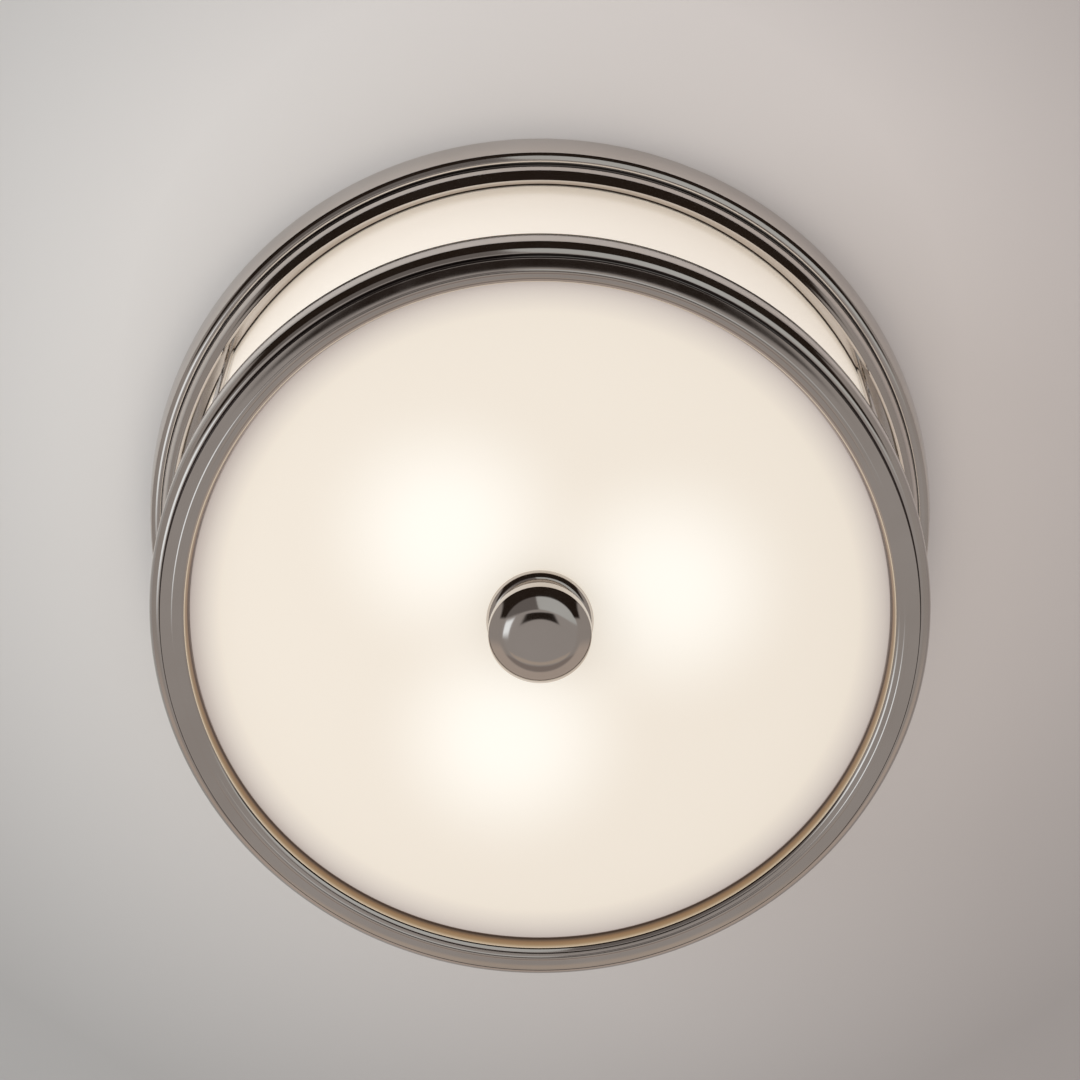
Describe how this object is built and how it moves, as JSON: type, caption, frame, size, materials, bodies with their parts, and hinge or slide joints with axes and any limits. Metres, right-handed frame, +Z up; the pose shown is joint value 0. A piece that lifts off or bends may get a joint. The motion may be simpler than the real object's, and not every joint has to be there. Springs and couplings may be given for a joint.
{
  "type": "semi-flush ceiling light",
  "caption": "Round semi-flush ceiling light: frosted glass drum between polished nickel rings, flat frosted diffuser held up by a turned finial, globe bulbs inside",
  "frame": {"origin": "centre of the ceiling face, midway between the two outlet box screws", "axes": "+Z up out of the ceiling face, +X along the mounting strap; the light hangs towards -Z"},
  "size_m": [0.3556, 0.3556, 0.157],
  "materials": {
    "polished_nickel": "polished nickel plate, warm grey mirror",
    "zinc_plated_steel": "bright zinc plate",
    "brass": "plain turned and drawn brass",
    "green_screw": "green dyed zinc plate",
    "white_enamel": "gloss white enamel",
    "porcelain": "glazed white porcelain",
    "bulb_frosted_glass": "inside-frosted white glass, lit",
    "fibre_sleeve": "woven glass-fibre sleeve",
    "grommet_plastic": "moulded black nylon",
    "terminal_plastic": "moulded cream plastic",
    "silicone": "soft white silicone",
    "bushing_plastic": "moulded white nylon",
    "felt": "pressed wool felt",
    "side_frosted_glass": "acid-etched white glass with ground edges",
    "bottom_frosted_glass": "acid-etched white glass with ground edges"
  },
  "bodies": {
    "root": {"ceiling_pan": "polished_nickel", "pan_rim": "polished_nickel", "mounting_strap": "zinc_plated_steel", "pan_studs": "zinc_plated_steel", "cap_nuts": "polished_nickel", "ground_screw": "green_screw", "centre_rod": "brass", "rod_nuts": "brass", "rod_washers": "zinc_plated_steel", "reflector": "white_enamel", "holder_cup_1": "zinc_plated_steel", "holder_cup_2": "zinc_plated_steel", "holder_cup_3": "zinc_plated_steel", "lampholder_1": "porcelain", "lampholder_2": "porcelain", "lampholder_3": "porcelain", "screw_shell_1": "brass", "screw_shell_2": "brass", "screw_shell_3": "brass", "holder_screws": "zinc_plated_steel", "holder_nuts": "zinc_plated_steel", "lead_sleeve_1": "fibre_sleeve", "lead_sleeve_2": "fibre_sleeve", "lead_sleeve_3": "fibre_sleeve", "lead_grommets": "grommet_plastic", "terminal_block": "terminal_plastic", "terminal_screws": "zinc_plated_steel", "post_1": "polished_nickel", "post_2": "polished_nickel", "post_3": "polished_nickel", "post_screws": "zinc_plated_steel", "upper_gasket": "silicone", "side_glass": "side_frosted_glass", "lower_gasket": "silicone", "lower_ring": "polished_nickel", "seat_ring": "white_enamel", "diffuser_gasket": "silicone"},
    "diffuser": {"bottom_glass": "bottom_frosted_glass", "glass_bushing": "bushing_plastic", "finial_washer": "felt", "finial_base": "polished_nickel"},
    "finial": {"finial_knob": "polished_nickel"},
    "bulb_1": {"bulb_cap_1": "brass", "bulb_glass_1": "bulb_frosted_glass"},
    "bulb_2": {"bulb_cap_2": "brass", "bulb_glass_2": "bulb_frosted_glass"},
    "bulb_3": {"bulb_cap_3": "brass", "bulb_glass_3": "bulb_frosted_glass"}
  },
  "joints": [
    {"name": "diffuser_drop", "type": "slide", "parent": "root", "child": "diffuser", "axis": [0, 0, -1], "range_m": [0, 0.0094]},
    {"name": "finial_turn", "type": "hinge", "parent": "diffuser", "child": "finial", "pos_m": [0, 0, -0.14], "axis": [0, 0, -1], "range_deg": [0, 3600]},
    {"name": "bulb_1_draw", "type": "slide", "parent": "root", "child": "bulb_1", "axis": [0, 0, -1], "range_m": [0, 0.0115]},
    {"name": "bulb_2_draw", "type": "slide", "parent": "root", "child": "bulb_2", "axis": [0, 0, -1], "range_m": [0, 0.0115]},
    {"name": "bulb_3_draw", "type": "slide", "parent": "root", "child": "bulb_3", "axis": [0, 0, -1], "range_m": [0, 0.0115]}
  ],
  "couplings": [
    {"joint": "finial_turn", "follows": "diffuser_drop", "rad_per_m": 6676.9}
  ]
}
